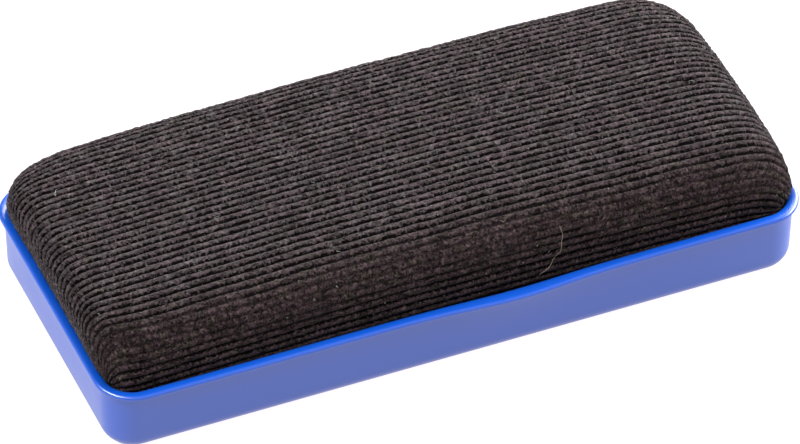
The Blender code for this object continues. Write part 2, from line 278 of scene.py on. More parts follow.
def corduroy():
    """Cut-pile ribs of fuzzy tufts, with furrows between them that fibres bridge here and there.

    Where the nap is brushed up the ribs run together. The furrows, the nicks between tufts, the pits and the
    nicked-out spot carry painted shade, and painted shade darkens the cloth towards the front edge.
    """
    s = Shader("corduroy", roughness=0.95, Sheen_Weight=0.04, Sheen_Roughness=0.3, IOR=1.3)
    s.principled.inputs["Specular IOR Level"].default_value = 0.05
    wale = s.attribute("wale")
    tuft = s.attribute("tuft")
    nap = s.attribute("nap")
    slope_shade = s.attribute("slope_shade")
    grain = s.place()

    # Furrows of painted shade: their width changes along them, they sway a little, and their edges are frayed
    furrow_number = s.math("FLOOR", s.math("ADD", wale, 0.5))
    strand = s.combine(tuft, s.math("MULTIPLY", furrow_number, 7.3))
    width = s.ramp(s.noise(strand, 1.9, 1.0, 0.5), 0.36, 0.6, 0.048, 0.205)
    sway = s.math("MULTIPLY_ADD", s.noise(s.combine(s.math("ADD", tuft, 31.0), wale), 1.0, 2.0), 0.2, -0.1)
    across = s.math("FRACT", s.math("ADD", wale, sway))
    from_furrow = s.math("SUBTRACT", 0.5, s.math("ABSOLUTE", s.math("SUBTRACT", across, 0.5)))
    fray = s.math("MULTIPLY_ADD", s.noise(grain, 2200.0, 2.0), 0.44, -0.22)
    from_furrow = s.math("ADD", from_furrow, fray)
    furrow = s.ramp(s.math("SUBTRACT", from_furrow, width), -0.045, 0.13, 1.0, 0.0)
    furrow = s.math("MULTIPLY", furrow, s.ramp(nap, 0.0, 1.0, 1.0, 0.12))

    # More painted shade: in nicks between tufts, in pits between fibres, and in the nicked-out spot
    nick = s.noise(s.combine(tuft, s.math("MULTIPLY", s.math("FLOOR", wale), 5.1), 9.0), 2.4, 1.0, 0.6)
    nick = s.ramp(nick, 0.26, 0.38, 0.6, 0.0)
    pit_noise = s.math("MULTIPLY_ADD", nap, -0.06, s.noise(grain, 1800.0, 2.0, 0.6))
    pits = s.ramp(pit_noise, 0.33, 0.45, 0.75, 0.0)
    gap_shade = s.math("MAXIMUM", furrow, s.math("MAXIMUM", nick, pits))
    # Painted shade in the nicked-out spot, over its real pit
    gap_shade = s.math("MAXIMUM", gap_shade, s.math("MULTIPLY", s.attribute("bare_and_shade"), 0.97))

    # Tone: clumps, single fibres, broad changes, mottle where the nap is brushed, and painted sheen at the
    # rubbed left end
    clump = s.cells(s.place(), 2900.0, output="Color")
    clump = s.ramp(clump, 0.15, 0.85, 0.6, 1.5, smooth=False)
    fibres = s.noise(grain, 2600.0, 2.0, 0.8)
    tone = s.math("MULTIPLY", clump, s.ramp(fibres, 0.32, 0.68, 0.4, 1.65, smooth=False))
    tone = s.math("MULTIPLY", tone, s.ramp(s.noise(grain, 420.0, 2.0), 0.3, 0.7, 0.78, 1.22))
    mottle = s.ramp(s.noise(grain, 1300.0, 2.0), 0.36, 0.64, -0.2, 0.28)
    tone = s.math("MULTIPLY", tone, s.math("MULTIPLY_ADD", mottle, nap, 1.0))
    # Painted sheen: the rubbed left end is lightened, except on the front slope
    wear_and_sheen = s.math("MULTIPLY", s.attribute("wear_and_sheen"), s.math("SUBTRACT", 1.0, slope_shade))
    tone = s.math("MULTIPLY", tone, s.math("MULTIPLY_ADD", wear_and_sheen, 0.5, 1.11))

    # Colour: near black, bluish or yellowish in patches, and on the front slope painted shade in a darker,
    # warmer copy
    patches = s.noise(grain, 330.0, 2.0)
    specks = s.noise(s.place((1.0, 1.3, 0.7)), 700.0, 2.0)
    pile = s.mix(s.ramp(patches, 0.38, 0.62), (0.0350, 0.0262, 0.0290), (0.0325, 0.0275, 0.0290))
    pile = s.mix(s.ramp(specks, 0.5, 0.72, 0.0, 0.8), pile, (0.0320, 0.0283, 0.0240))
    # Painted shade: a darker, warmer copy of the pile's colour for the front slope
    shaded_pile = s.mix(s.ramp(specks, 0.45, 0.65), (0.0252, 0.0167, 0.0183), (0.0225, 0.0177, 0.0153))
    pile = s.mix(slope_shade, pile, shaded_pile)
    shade = s.node("ShaderNodeVectorMath", operation="SCALE")
    s.put(shade.inputs[0], pile)
    s.put(shade.inputs["Scale"], tone)
    # Painted shade: the furrows, nicks, pits and the nicked-out spot take a near-black colour
    color = s.mix(gap_shade, shade.outputs["Vector"], (0.0016, 0.0008, 0.0011))
    height = s.math("SUBTRACT", s.math("MULTIPLY", clump, 0.5), gap_shade)
    return s.finish(color, 0.95, s.bump(height, 0.25 * MM, 1.0))


def wadding_fibre():
    """Matted fibres: two tones in streaks, and a bump that follows them."""
    s = Shader("wadding_fibre", roughness=0.9)
    s.principled.inputs["Specular IOR Level"].default_value = 0.1
    grain = s.noise(s.place((1.0, 3.0, 1.0)), 700.0, 4.0, 0.65, 0.6)
    color = s.mix(s.ramp(grain, 0.3, 0.7), (0.62, 0.61, 0.58), (0.84, 0.84, 0.82))
    return s.finish(color, 0.9, s.bump(grain, 0.25 * MM, 0.8))


def woven(name, dark, light, thread=0.32 * MM):
    """Flat woven tape: two sets of threads crossing."""
    s = Shader(name, roughness=0.8)
    place = s.place()
    split = s.node("ShaderNodeSeparateXYZ")
    s.put(split.inputs["Vector"], place)
    turns = 2.0 * math.pi / thread
    warp = s.math("SINE", s.math("MULTIPLY", split.outputs["X"], turns))
    weft = s.math("SINE", s.math("MULTIPLY", split.outputs["Y"], turns))
    weave = s.math("MULTIPLY_ADD", s.math("MULTIPLY", warp, weft), 0.5, 0.5)
    lint = s.noise(place, 2400.0, 2.0)
    tone = s.math("MULTIPLY", weave, lint)
    return s.finish(s.mix(s.ramp(tone, 0.1, 0.5), dark, light), 0.8, s.bump(weave, 0.05 * MM, 0.7))


def open_foam():
    """Cut open-cell foam: pores of uneven size coloured with painted shade, and lighter struts between them.
    """
    s = Shader("foam", roughness=0.95)
    place = s.place()
    small = s.cells(place, 1900.0)
    large = s.cells(place, 900.0, randomness=0.9)
    pore_shade = s.math("MINIMUM", s.ramp(small, 0.1, 0.5), s.ramp(large, 0.05, 0.45))
    age = s.noise(place, 60.0, 3.0)
    struts = s.mix(age, (0.60, 0.55, 0.38), (0.52, 0.45, 0.28))
    # Painted shade in the pores: a dark brown under the struts' colour
    return s.finish(s.mix(pore_shade, (0.20, 0.17, 0.10), struts), 0.95, s.bump(pore_shade, 0.2 * MM, 0.8))


def zinc_steel():
    """Rolled and zinc-plated sheet: fine rolling lines under a faint spangle."""
    s = Shader("zinc_steel", metallic=1.0)
    lines = s.noise(s.place((25.0, 3500.0, 1.0)), 1.0, 2.0)
    spangle = s.cells(s.place(), 380.0, output="Color")
    color = s.mix(s.ramp(spangle, 0.2, 0.8), (0.50, 0.51, 0.53), (0.66, 0.67, 0.68))
    roughness = s.math("MULTIPLY_ADD", lines, 0.25, s.ramp(spangle, 0.2, 0.8, 0.18, 0.3))
    return s.finish(color, roughness, s.bump(lines, 0.01 * MM, 0.4))


def ferrite():
    """Sintered block: dark, finely pitted, with grinding lines and small grey chips."""
    s = Shader("ferrite", roughness=0.6)
    grain = s.noise(s.place(), 2600.0, 3.0, 0.7)
    ground = s.noise(s.place((900.0, 12.0, 900.0)), 1.0, 2.0)
    chips = s.ramp(s.noise(s.place(), 330.0, 2.0), 0.68, 0.74)
    color = s.mix(grain, (0.012, 0.012, 0.013), (0.035, 0.034, 0.036))
    color = s.mix(chips, color, (0.09, 0.088, 0.09))
    roughness = s.math("MULTIPLY_ADD", ground, 0.25, 0.42)
    height = s.math("SUBTRACT", grain, s.math("MULTIPLY", chips, 0.8))
    return s.finish(color, roughness, s.bump(height, 0.03 * MM, 0.6))


def moulded(name, dark, light, roughness, texture=1400.0, depth=0.012 * MM):
    """Satin moulding with a spark-eroded texture and a slow change of tone."""
    s = Shader(name)
    sparks = s.noise(s.place(), texture, 3.0, 0.6)
    flow = s.noise(s.place((1.0, 3.0, 1.0)), 40.0, 2.0)
    uneven = s.math("MULTIPLY_ADD", sparks, 0.2, roughness - 0.1)
    return s.finish(s.mix(flow, dark, light), uneven, s.bump(sparks, depth, 0.6))


def gasket_rubber():
    """Black die-cut rubber with a bloom of pale dust."""
    s = Shader("gasket_rubber", roughness=0.7)
    bloom = s.ramp(s.noise(s.place(), 260.0, 4.0, 0.65), 0.5, 0.8)
    skin = s.noise(s.place(), 3000.0, 2.0)
    color = s.mix(bloom, (0.012, 0.012, 0.012), (0.045, 0.044, 0.042))
    return s.finish(color, s.ramp(bloom, 0.0, 1.0, 0.6, 0.85), s.bump(skin, 0.01 * MM, 0.5))


def stainless_steel():
    """Headed and rolled wire, slightly scratched."""
    s = Shader("stainless_steel", metallic=1.0)
    scratches = s.noise(s.place((2500.0, 180.0, 900.0)), 1.0, 2.0)
    color = s.mix(scratches, (0.52, 0.52, 0.51), (0.66, 0.66, 0.65))
    return s.finish(color, s.ramp(scratches, 0.3, 0.7, 0.2, 0.42), s.bump(scratches, 0.006 * MM, 0.5))


def loose_fibre(name, dark, light):
    """Single hairs, each with its own tone."""
    s = Shader(name, roughness=0.55)
    tone = s.noise(s.place(), 260.0, 1.0)
    return s.finish(s.mix(s.ramp(tone, 0.35, 0.65), dark, light), 0.55)


# ---------------------------------------------------------------- mesh building

def add_object(name, bm, materials, smooth_angle=40.0):
    mesh = bpy.data.meshes.new(name)
    bm.to_mesh(mesh)
    bm.free()
    mesh.shade_smooth()
    if smooth_angle:
        mesh.set_sharp_from_angle(angle=math.radians(smooth_angle))
    for material in materials:
        mesh.materials.append(material)
    obj = bpy.data.objects.new(name, mesh)
    SCENE.collection.objects.link(obj)
    return obj


def arc_points(start, end, steps):
    return [math.radians(start + (end - start) * k / steps) for k in range(steps + 1)]


def rounded_rectangle(half_x, half_y, radius, z, corner_steps=12, side_steps=(44, 16)):
    """Anticlockwise points, with extra ones along the sides so that they can bend."""
    radius = min(radius, half_x * 0.98, half_y * 0.98)
    corners = []
    for side_x, side_y, start in ((1, 1, 0.0), (-1, 1, 90.0), (-1, -1, 180.0), (1, -1, 270.0)):
        centre = (side_x * (half_x - radius), side_y * (half_y - radius))
        corner = [
            (centre[0] + radius * math.cos(a), centre[1] + radius * math.sin(a))
            for a in arc_points(start, start + 90.0, corner_steps)
        ]
        corners.append(corner)
    points = []
    for index, corner in enumerate(corners):
        points.extend(corner)
        begin = corner[-1]
        end = corners[(index + 1) % 4][0]
        steps = side_steps[index % 2]
        for k in range(1, steps):
            t = k / steps
            points.append((begin[0] + (end[0] - begin[0]) * t, begin[1] + (end[1] - begin[1]) * t))
    return [Vector((x, y, z)) for x, y in points]


def add_loft(bm, rings):
    """A skin over the rings from first to last, closed by a flat face at each end."""
    loops = [[bm.verts.new(point) for point in ring] for ring in rings]
    for lower, upper in zip(loops, loops[1:]):
        for k in range(len(lower)):
            n = (k + 1) % len(lower)
            bm.faces.new((lower[k], lower[n], upper[n], upper[k]))
    bm.faces.new(list(reversed(loops[0])))
    bm.faces.new(loops[-1])


# ---------------------------------------------------------------- tray

def bowed(point, inset):
    """The front lip stands out a little in one place, and less so the further down the wall, and inside."""
    if point.y > 0.0:
        return point
    swell = math.exp(-(((point.x - LIP_BOW_PLACE) / LIP_BOW_WIDTH) ** 2))
    height = max(point.z / TRAY_TOP, 0.0) ** 3
    inside = min(max((inset + LIP_OVERHANG) / (UPPER_WALL + LIP_OVERHANG), 0.0), 1.0)
    share = 1.0 + (LIP_BOW_INSIDE - 1.0) * inside
    return Vector((point.x, point.y - LIP_BOW * swell * height * share, point.z))


def tray_outline():
    """(inset from the wall's top, height) from the back, up over the lip and down to the floor inside."""
    outline = []
    for a in arc_points(0.0, 90.0, 9):
        outline.append((DRAFT + BASE_FILLET * (1.0 - math.sin(a)), BASE_FILLET * (1.0 - math.cos(a))))
    under = TRAY_TOP - LIP_THICKNESS
    cove = 0.2 * MM
    for share in (0.3, 0.65):
        outline.append((DRAFT * (1.0 - share), BASE_FILLET + (under - BASE_FILLET) * share))
    for a in arc_points(0.0, 90.0, 4):
        outline.append((-cove * (1.0 - math.cos(a)), under - cove * (1.0 - math.sin(a))))
    low_edge = 0.12 * MM
    high_edge = 0.5 * MM
    for a in arc_points(-90.0, 0.0, 4):
        inset = -LIP_OVERHANG + low_edge * (1.0 - math.cos(a))
        outline.append((inset, under + low_edge * (1.0 + math.sin(a))))
    for a in arc_points(0.0, 90.0, 6):
        rise = LIP_THICKNESS - high_edge * (1.0 - math.sin(a))
        outline.append((-LIP_OVERHANG + high_edge * (1.0 - math.cos(a)), under + rise))
    inner_edge = 1.4 * MM
    inner_drop = 0.8 * MM
    for a in arc_points(0.0, 90.0, 8):
        inset = UPPER_WALL - inner_edge * (1.0 - math.sin(a))
        outline.append((inset, TRAY_TOP - inner_drop * (1.0 - math.cos(a))))
    ledge_edge = 0.1 * MM
    floor_fillet = 0.6 * MM
    outline.append((UPPER_WALL, LEDGE_Z + ledge_edge))
    outline.append((UPPER_WALL + ledge_edge, LEDGE_Z))
    outline.append((LOWER_WALL, LEDGE_Z))
    outline.append((LOWER_WALL, FLOOR + floor_fillet))
    for a in arc_points(0.0, 90.0, 3)[1:]:
        inset = LOWER_WALL + floor_fillet * (1.0 - math.cos(a))
        outline.append((inset, FLOOR + floor_fillet * (1.0 - math.sin(a))))
    return outline


def add_turned(bm, centre, outline, steps=28):
    """A solid of revolution about an upright line. The outline is (radius, height), from axis to axis."""
    rings = []
    for radius, z in outline:
        ring = []
        for k in range(steps):
            a = 2.0 * math.pi * k / steps
            ring.append((centre[0] + radius * math.cos(a), centre[1] + radius * math.sin(a), z))
        rings.append(ring)
    add_loft(bm, rings)


def add_post(bm, x, y):
    """A screw post with its blind hole, standing on the tray's floor."""
    ease = 0.2 * MM
    top = LEDGE_Z - ease
    outline = [
        (ease, FLOOR / 2),
        (POST_RADIUS, FLOOR / 2),
        (POST_RADIUS, top - ease),
        (POST_RADIUS - ease, top),
        (PILOT_RADIUS + ease, top),
        (PILOT_RADIUS, top - ease),
        (PILOT_RADIUS, PILOT_BOTTOM),
        (ease, PILOT_BOTTOM),
    ]
    add_turned(bm, (x, y), outline)


def make_tray():
    bm = bmesh.new()
    rings = []
    for inset, z in tray_outline():
        corner = max(WALL_CORNER - inset, 0.3 * MM)
        end_inset = inset * LIP_AT_ENDS if inset < 0.0 else inset
        ring = rounded_rectangle(WALL_X - end_inset, WALL_Y - inset, corner, z)
        rings.append([bowed(point, inset) for point in ring])
    add_loft(bm, rings)
    for x in (-SCREW_X, SCREW_X):
        for y in (-SCREW_Y, SCREW_Y):
            add_post(bm, x, y)
    tray = add_object("tray_shell", bm, [blue_plastic()])
    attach(tray, "tray")
    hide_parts("casing")


# ---------------------------------------------------------------- pad surface

class Section:
    """Half a cross-section of the pad from its crest to where it sinks into the tray.

    The outline turns down gently at first (crown, degrees per mm), then through a shoulder of given place and
    spread along the arc, and ends at the angle lean, past 90 where it tucks under.
    """

    def __init__(self, crown, shoulder, spread, lean):
        arc = np.linspace(0.0, shoulder + 3.0 * spread + 16.0 * MM, 600)
        turned = np.array([0.5 * (1.0 + math.erf((a - shoulder) / spread)) for a in arc])
        turned = (turned - turned[0]) / (turned[-1] - turned[0])
        gentle = math.radians(crown) * np.minimum(arc, shoulder) / MM
        last = math.radians(lean) - math.radians(crown) * shoulder / MM
        angle = gentle + last * turned
        step = arc[1] - arc[0]
        middle = (angle[1:] + angle[:-1]) / 2
        run = np.concatenate([[0.0], np.cumsum(np.cos(middle) * step)])
        drop = np.concatenate([[0.0], np.cumsum(np.sin(middle) * step)])
        full = CREST_Z - SINK_Z
        self.length = float(np.interp(full, drop, arc))
        keep = arc < self.length
        self.arc = np.append(arc[keep], self.length)
        self.run = np.append(run[keep], np.interp(self.length, arc, run))
        self.fall = np.append(drop[keep] / full, 1.0)
        self.full = full

    def fall_at(self, arc):
        """Share of the full drop at a distance along the arc. Past the sinking line it goes straight down."""
        beyond = np.maximum(arc - self.length, 0.0) / self.full
        return np.interp(arc, self.arc, self.fall) + beyond

    def run_at(self, fall):
        return np.interp(fall, self.fall, self.run)


FRONT = Section(0.40, 19.9 * MM, 3.9 * MM, 85.0)
BACK = Section(0.40, 22.4 * MM, 3.85 * MM, 89.0)
LEFT = Section(0.05, 54.85 * MM, 2.7 * MM, 101.0)
RIGHT = Section(0.05, 53.45 * MM, 7.2 * MM, 96.0)
PAD_SHIFT_Y = -0.65 * MM
PAD_LOW = np.array([-LEFT.run.max(), PAD_SHIFT_Y - FRONT.run.max()])
PAD_HIGH = np.array([RIGHT.run.max(), PAD_SHIFT_Y + BACK.run.max()])

# Radius of the pad's corners in plan, at the lip and at the crest, and how much less it is at the front right
LOW_CORNER = 6.0 * MM
HIGH_CORNER = 12.0 * MM
SQUARER = 2.4 * MM

# How far the pad's right end is out of square, as a slope: its front stands out. It starts above the lip
SKEW = 0.025
SKEW_FROM = TRAY_TOP + 1.5 * MM
SKEW_OVER = 7.0 * MM

# Room between the tray's walls for the cloth's base and for its pile, and how fast it may spread above them
ROOM = np.array([WALL_X - 0.1 * MM, WALL_Y - 0.5 * MM]) - UPPER_WALL
ROOM_CORNER = WALL_CORNER - UPPER_WALL - 0.3 * MM
ROOM_SPREAD = 1.6
PILE_GAP = 0.12 * MM
PILE_ROOM = np.array([WALL_X, WALL_Y]) - UPPER_WALL - PILE_GAP
PILE_CORNER = WALL_CORNER - UPPER_WALL - PILE_GAP
PILE_SPREAD_FROM = 0.3 * MM  # below the lip's top


def round_corners(plan, z):
    """Squeezes the plan's square corners into round ones, by the map that takes a square onto a disc."""
    share = np.clip((z - SINK_Z) / (CREST_Z - SINK_Z), 0.0, 1.0)[..., None]
    front_right = np.all((plan > (PAD_LOW + PAD_HIGH) / 2) == (True, False), axis=-1)[..., None]
    radius = LOW_CORNER + (HIGH_CORNER - LOW_CORNER) * share - SQUARER * front_right
    side = np.where(plan < (PAD_LOW + PAD_HIGH) / 2, -1.0, 1.0)
    centre = np.where(side < 0, PAD_LOW + radius, PAD_HIGH - radius)
    past = np.clip((plan - centre) * side / radius, 0.0, 1.0)
    inner = (plan - centre) * side / radius - past
    round_past = past * np.sqrt(1.0 - past[..., ::-1] ** 2 / 2.0)
    return centre + side * radius * (inner + round_past)


def keep_inside_tray(plan, z, room, corner):
    """Draws in what would stand in the tray's wall. Above the lip the pad may spread again."""
    allowed = np.maximum(z - TRAY_TOP, 0.0) * ROOM_SPREAD
    past = np.maximum(np.abs(plan) - (room - corner), 0.0)
    reach = np.linalg.norm(past, axis=-1)
    excess = np.maximum(reach - corner - allowed, 0.0)
    share = (excess / np.maximum(reach, 1e-9))[..., None]
    return plan - np.sign(plan) * past * share


def pad_surface(u, v):
    """Place of the cloth's base at arc distances u along and v across, arrays of the same shape.

    The falls of the two sections add up. Where they pass the full drop, at the corners and below the sinking
    line, the cloth follows the pad's footprint and goes straight down to the hem.
    """
    fall_u = np.where(u < 0, LEFT.fall_at(-u), RIGHT.fall_at(u))
    fall_v = np.where(v < 0, FRONT.fall_at(-v), BACK.fall_at(v))
    total = fall_u + fall_v
    inside = np.minimum(1.0 / np.maximum(total, 1e-6), 1.0)
    skirt = (SINK_Z - HEM_Z) / (CREST_Z - SINK_Z)
    border = (1.0 + skirt) / np.maximum(np.maximum(fall_u, fall_v), 1e-6)
    below = np.clip((1.0 - inside) / np.maximum(border - inside, 1e-6), 0.0, 1.0)
    held_u = fall_u * inside
    held_v = fall_v * inside
    x = np.where(u < 0, -LEFT.run_at(held_u), RIGHT.run_at(held_u))
    y = np.where(v < 0, -FRONT.run_at(held_v), BACK.run_at(held_v)) + PAD_SHIFT_Y
    z = CREST_Z - (CREST_Z - SINK_Z) * np.minimum(total, 1.0) - (SINK_Z - HEM_Z) * below
    plan = round_corners(np.stack([x, y], -1), z)
    above = np.clip((z - SKEW_FROM) / SKEW_OVER, 0.0, 1.0)
    plan[..., 0] -= SKEW * plan[..., 1] * np.clip(plan[..., 0] / PAD_HIGH[0], 0.0, 1.0) * above
    plan = keep_inside_tray(plan, z, ROOM, ROOM_CORNER)
    return np.concatenate([plan, z[..., None]], -1)


def surface_normal(u, v):
    """Outward normal of the cloth's base by small steps along u and v."""
    step = 0.25 * MM
    du = pad_surface(u + step, v) - pad_surface(u - step, v)
    dv = pad_surface(u, v + step) - pad_surface(u, v - step)
    normal = np.cross(du, dv)
    return normal / np.maximum(np.linalg.norm(normal, axis=-1, keepdims=True), 1e-15)


def grid_normals(points):
    """Outward normals of a grid of points, from its neighbours along both sides."""
    du = np.gradient(points, axis=0)
    dv = np.gradient(points, axis=1)
    normal = np.cross(du, dv)
    return normal / np.maximum(np.linalg.norm(normal, axis=-1, keepdims=True), 1e-12)


def smooth_noise(shape, cells, seed):
    """Seeded value noise on a grid, from -1 to 1, with about cells[i] lumps along each side."""
    source = np.random.default_rng(seed).uniform(-1.0, 1.0, (cells[0] + 3, cells[1] + 3))
    rows = np.linspace(0.0, cells[0], shape[0])
    columns = np.linspace(0.0, cells[1], shape[1])
    i = rows.astype(int)
    j = columns.astype(int)
    a = (rows - i)[:, None]
    b = (columns - j)[None, :]
    a = a * a * (3.0 - 2.0 * a)
    b = b * b * (3.0 - 2.0 * b)
    corner = source[np.ix_(i, j)] * (1 - a) * (1 - b) + source[np.ix_(i + 1, j)] * a * (1 - b)
    return corner + source[np.ix_(i, j + 1)] * (1 - a) * b + source[np.ix_(i + 1, j + 1)] * a * b


def cloth_grid():
    """Arc positions of the cloth's rows along the pad, and of its columns, four to a wale, across it."""
    skirt = SINK_Z - HEM_Z
    left = -(LEFT.length + skirt)
    right = RIGHT.length + skirt
    rows = np.linspace(left, right, int((right - left) / ROW_STEP))
    first = math.ceil(-(FRONT.length + skirt) / WALE)
    last = math.floor((BACK.length + skirt) / WALE)
    columns = [(k + phase) * WALE for k in range(first, last) for phase in WALE_COLUMNS]
    columns = [-(FRONT.length + skirt)] + columns + [last * WALE, BACK.length + skirt]
    return rows, np.array(columns)


def grid_faces(rows, columns):
    """Quads of a grid, as vertex numbers, facing outward."""
    index = np.arange(rows * columns).reshape(rows, columns)
    quads = np.stack([index[:-1, :-1], index[1:, :-1], index[1:, 1:], index[:-1, 1:]], -1)
    return quads.reshape(-1, 4)


def border_loop(rows, columns):
    """Vertex numbers round the grid's edge, anticlockwise seen from above."""
    index = np.arange(rows * columns).reshape(rows, columns)
    front = index[:, 0]
    right = index[-1, 1:]
    back = index[::-1, -1][1:]
    left = index[0, ::-1][1:-1]
    return np.concatenate([front, right, back, left])


# The cover's inner side: its depth under the cloth's base, and its rings from the border to the crown
LINING_DEPTH = CLOTH * 1.3
LINING_SHARES = (0.995, 0.95, 0.9, 0.84, 0.77, 0.68, 0.55, 0.35, 0.12)


def soft_spot(distance, width):
    """1 where the distance is 0, and fading over the width."""
    return np.exp(-((distance / width) ** 2))


def flattened_pile(u, v, wear_and_sheen):
    """How flat the pile lies: brushed along the front edge, and rubbed at the ends and the front corners."""
    uneven = 1.0 + 0.4 * smooth_noise(u.shape, (24, 10), 6) + 0.5 * smooth_noise(u.shape, (90, 50), 9)
    brushed = 1.05 * soft_spot(v - BRUSHED_AT, BRUSHED_WIDTH) * uneven
    right_front = np.clip((6.0 * MM - v) / (14.0 * MM), 0.0, 1.0)
    right_end = soft_spot(u - RIGHT.length + 1.0 * MM, 8.0 * MM) * right_front
    left_front = np.clip((-v - 12.0 * MM) / (6.0 * MM), 0.0, 1.0)
    left_corner = soft_spot(u + LEFT.length - 2.0 * MM, 8.0 * MM) * left_front
    return np.maximum.reduce([0.68 * np.clip(brushed, 0.0, 1.0), 0.7 * wear_and_sheen, right_end, 0.9 * left_corner])


def wavered_base(u, v, rows, columns):
    """The cloth's base, with the ribs swaying a little everywhere but at the border."""
    from_border = np.minimum.reduce([u - rows[0], rows[-1] - u, v - columns[0], columns[-1] - v])
    loose = np.clip(from_border / (6.0 * MM), 0.0, 1.0)
    waver = WAVER * (smooth_noise(u.shape, (18, 5), 11) + 0.8 * smooth_noise(u.shape, (95, 44), 12))
    return pad_surface(u, v + waver * loose)


def pile_lift(u, v, base, rib, bead, nap, bare_and_shade):
    """Height of the pile over the cloth's base: uneven ribs, lower where the nap is flat or pressed in."""
    lift = WALE_HEIGHT * (rib * (0.85 + 0.15 * bead) * (1.0 - 0.8 * nap) + 0.55 * nap)
    lift = lift + 0.09 * MM * smooth_noise(u.shape, (300, 90), 7) * rib
    lift = lift + 0.05 * MM * smooth_noise(u.shape, (26, 12), 8)
    lift = (lift - 0.7 * WALE_HEIGHT) * np.clip((base[..., 2] - HEM_Z) / (1.5 * MM), 0.0, 1.0)
    dent = DENT * soft_spot(u - DENT_PLACE[0], DENT_WIDTH) * soft_spot(v - DENT_PLACE[1], DENT_WIDTH)
    lift = lift - dent * np.clip((base[..., 2] - TRAY_TOP) / (4.0 * MM), 0.0, 1.0)
    return lift - NICK * bare_and_shade


def lining_rings(border, edge_u, edge_v):
    """The cover's inner side, from the hem turned in under the pad to the crown."""
    turned_in = border * (1.0 - HEM_WIDTH / np.array([WALL_X, WALL_Y, 1.0]))
    turned_in[:, 2] = HEM_Z
    rings = [turned_in, turned_in + np.array([0.0, 0.0, CLOTH])]
    for share in LINING_SHARES:
        ring_u = edge_u * share
        ring_v = edge_v * share
        ring = pad_surface(ring_u, ring_v) - surface_normal(ring_u, ring_v) * LINING_DEPTH
        ring[:, 2] = np.maximum(ring[:, 2], HEM_Z + CLOTH)
        rings.append(ring)
    return rings


def closed_cover(outer, quads, loop, rings):
    """One closed mesh: the outer grid, whose vertices come first, then the rings from its border inward."""
    bm = bmesh.new()
    verts = [bm.verts.new(point) for point in outer]
    for quad in quads:
        bm.faces.new([verts[k] for k in quad])
    previous = [verts[k] for k in loop]
    for ring in rings:
        current = [bm.verts.new(point) for point in ring]
        for k in range(len(current)):
            n = (k + 1) % len(current)
            bm.faces.new((previous[n], previous[k], current[k], current[n]))
        previous = current
    bm.faces.new(list(reversed(previous)))
    return bm


def make_cover():
    rows, columns = cloth_grid()
    shape = (len(rows), len(columns))
    u, v = np.meshgrid(rows, columns, indexing="ij")
    wale = v / WALE
    across = wale - np.floor(wale)
    rib = 1.0 - np.abs(2.0 * across - 1.0) ** 2.5
    stagger = np.random.default_rng(4).uniform(0.0, 1.0, 2 * MOST_WALES)
    number = np.floor(wale).astype(int) + MOST_WALES
    tuft = u / TUFT + stagger[number] + 0.5 * smooth_noise(shape, (130, 60), 5)
    bead = 1.0 - np.abs(2.0 * (tuft - np.floor(tuft)) - 1.0) ** 3
    # The rubbed left end: real flattening of the pile, and a painted sheen on the cloth
    wear_and_sheen = soft_spot(u + LEFT.length - 1.5 * MM, 4.0 * MM)
    nap = flattened_pile(u, v, wear_and_sheen)
    # Painted shade mask: 1 on the front slope, where the cloth gets a darker copy of its colour
    slope_shade = np.clip((-v - 13.0 * MM) / (7.0 * MM), 0.0, 1.0)
    reach = np.hypot((u - NICK_PLACE[0]) / NICK_SIZE[0], (v - NICK_PLACE[1]) / NICK_SIZE[1])
    bare_and_shade = np.exp(-(reach ** 4))

    base = wavered_base(u, v, rows, columns)
    outer = base + grid_normals(base) * pile_lift(u, v, base, rib, bead, nap, bare_and_shade)[..., None]
    low = outer[..., 2] + PILE_SPREAD_FROM
    outer[..., :2] = keep_inside_tray(outer[..., :2], low, PILE_ROOM, PILE_CORNER)
    outer = outer.reshape(-1, 3)

    loop = border_loop(*shape)
    rings = lining_rings(outer[loop], u.ravel()[loop], v.ravel()[loop])
    bm = closed_cover(outer, grid_faces(*shape), loop, rings)
    cover = add_object("corduroy_cover", bm, [corduroy()], smooth_angle=None)
    count = len(cover.data.vertices)
    marks = {"wale": wale, "tuft": tuft, "nap": nap, "slope_shade": slope_shade, "wear_and_sheen": wear_and_sheen, "bare_and_shade": bare_and_shade}
    for name, values in marks.items():
        data = np.zeros(count, np.float32)
        data[: values.size] = values.astype(np.float32).ravel()
        attribute = cover.data.attributes.new(name, "FLOAT", "POINT")
        attribute.data.foreach_set("value", data)
    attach(cover, "pad")
    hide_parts("fabric_cover")


def inside_ring(share, depth, low):
    """A ring of the pad's form at depth under the cloth's base. Share 1 is at the lip, 0 at the crown."""
    corners = np.array([
        (-LEFT.length, -FRONT.length),
        (RIGHT.length, -FRONT.length),
        (RIGHT.length, BACK.length),
        (-LEFT.length, BACK.length),
    ])
    edge = []
    for k, steps in enumerate((72, 32, 72, 32)):
        t = np.linspace(0.0, 1.0, steps, endpoint=False)[:, None]
        edge.append(corners[k] * (1.0 - t) + corners[(k + 1) % 4] * t)
    u, v = (np.concatenate(edge) * share).T
    ring = pad_surface(u, v) - surface_normal(u, v) * depth
    ring[:, 2] = np.maximum(ring[:, 2], low)
    return ring


DOME_SHARES = (1.0, 0.985, 0.965, 0.94, 0.91, 0.875, 0.83, 0.78, 0.72, 0.64, 0.54, 0.42, 0.28, 0.12)


def make_foam():
    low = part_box("foam_core")[0].z
    rings = [inside_ring(share, FOAM_DEPTH, low) for share in DOME_SHARES]
    bm = bmesh.new()
    add_loft(bm, rings)
    foam = add_object("foam_block", bm, [open_foam()], smooth_angle=35.0)
    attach(foam, "pad")
    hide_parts("foam_core")


